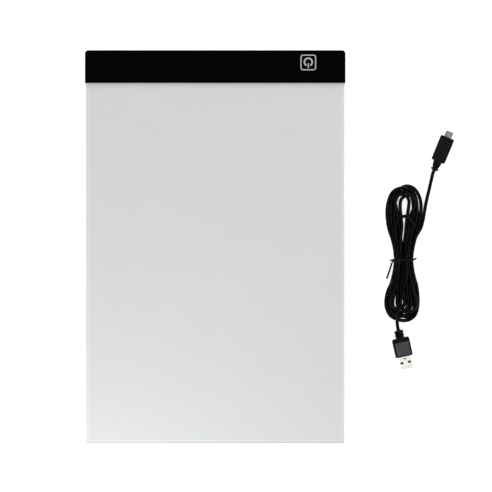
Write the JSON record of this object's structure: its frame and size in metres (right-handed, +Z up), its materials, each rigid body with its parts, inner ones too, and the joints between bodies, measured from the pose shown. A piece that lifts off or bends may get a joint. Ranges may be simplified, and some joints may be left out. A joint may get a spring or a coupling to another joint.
{
  "type": "light box",
  "caption": "Thin edge-lit tracing pad: frosted rectangular sheet stack held along one short end by a raised black header with a touch switch, with a tied USB lead lying beside it.",
  "frame": {"origin": "centre of the pad's outline, on the surface its feet stand on", "axes": "+Z up out of the working surface, +Y along the pad's length towards the header, +X towards the header's switch end"},
  "size_m": [0.3328, 0.355, 0.0112],
  "materials": {
    "black_abs": "satin",
    "white_pvc": "matt",
    "white_film": "matt",
    "frosted_acrylic": "frosted",
    "clear_acrylic": "polished",
    "grey_ink": "printed",
    "white_laminate": "solder mask",
    "green_laminate": "solder mask",
    "chip_epoxy": "moulded",
    "ceramic": "fired",
    "led_package": "moulded",
    "copper_foil": "rolled",
    "nickel_steel": "nickel plated",
    "red_pvc": "extruded",
    "black_pvc": "satin",
    "black_nylon": "moulded",
    "black_rubber": "matt"
  },
  "bodies": {
    "pad": {"back_sheet": "white_pvc", "control_board": "green_laminate", "current_resistor": "chip_epoxy", "diffuser_sheet": "white_film", "edge_tape_end": "white_film", "edge_tape_left": "white_film", "edge_tape_right": "white_film", "foot_end_left": "black_rubber", "foot_end_right": "black_rubber", "foot_header_left": "black_rubber", "foot_header_right": "black_rubber", "header_bottom_cover": "black_abs", "header_screw_1": "nickel_steel", "header_screw_2": "nickel_steel", "header_screw_3": "nickel_steel", "header_top_cover": "black_abs", "led_01": "led_package", "led_02": "led_package", "led_03": "led_package", "led_04": "led_package", "led_05": "led_package", "led_06": "led_package", "led_07": "led_package", "led_08": "led_package", "led_09": "led_package", "led_10": "led_package", "led_11": "led_package", "led_12": "led_package", "led_13": "led_package", "led_14": "led_package", "led_driver_chip": "chip_epoxy", "led_strip_board": "white_laminate", "light_guide_plate": "clear_acrylic", "mark_bar": "grey_ink", "mark_frame": "grey_ink", "mark_ring": "grey_ink", "micro_usb_socket_blade": "black_nylon", "micro_usb_socket_shell": "nickel_steel", "reflector_sheet": "white_film", "smoothing_capacitor": "ceramic", "top_sheet": "frosted_acrylic", "touch_chip": "chip_epoxy", "touch_electrode": "copper_foil", "touch_spring": "nickel_steel", "wire_negative": "black_pvc", "wire_positive": "red_pvc"},
    "usb_lead": {"hank_tie": "black_pvc", "lead_hank": "black_pvc", "lead_micro_tail": "black_pvc", "lead_usb_tail": "black_pvc", "micro_plug_core": "black_nylon", "micro_plug_overmould": "black_pvc", "micro_plug_shell": "nickel_steel", "micro_strain_relief": "black_pvc", "usb_plug_boot": "black_pvc", "usb_plug_overmould": "black_pvc", "usb_plug_shell": "nickel_steel", "usb_plug_tongue": "black_nylon"}
  },
  "joints": [
    {"name": "lead_lift", "type": "slide", "parent": "pad", "child": "usb_lead", "axis": [0, 0, 1], "range_m": [0, 0.03]}
  ]
}
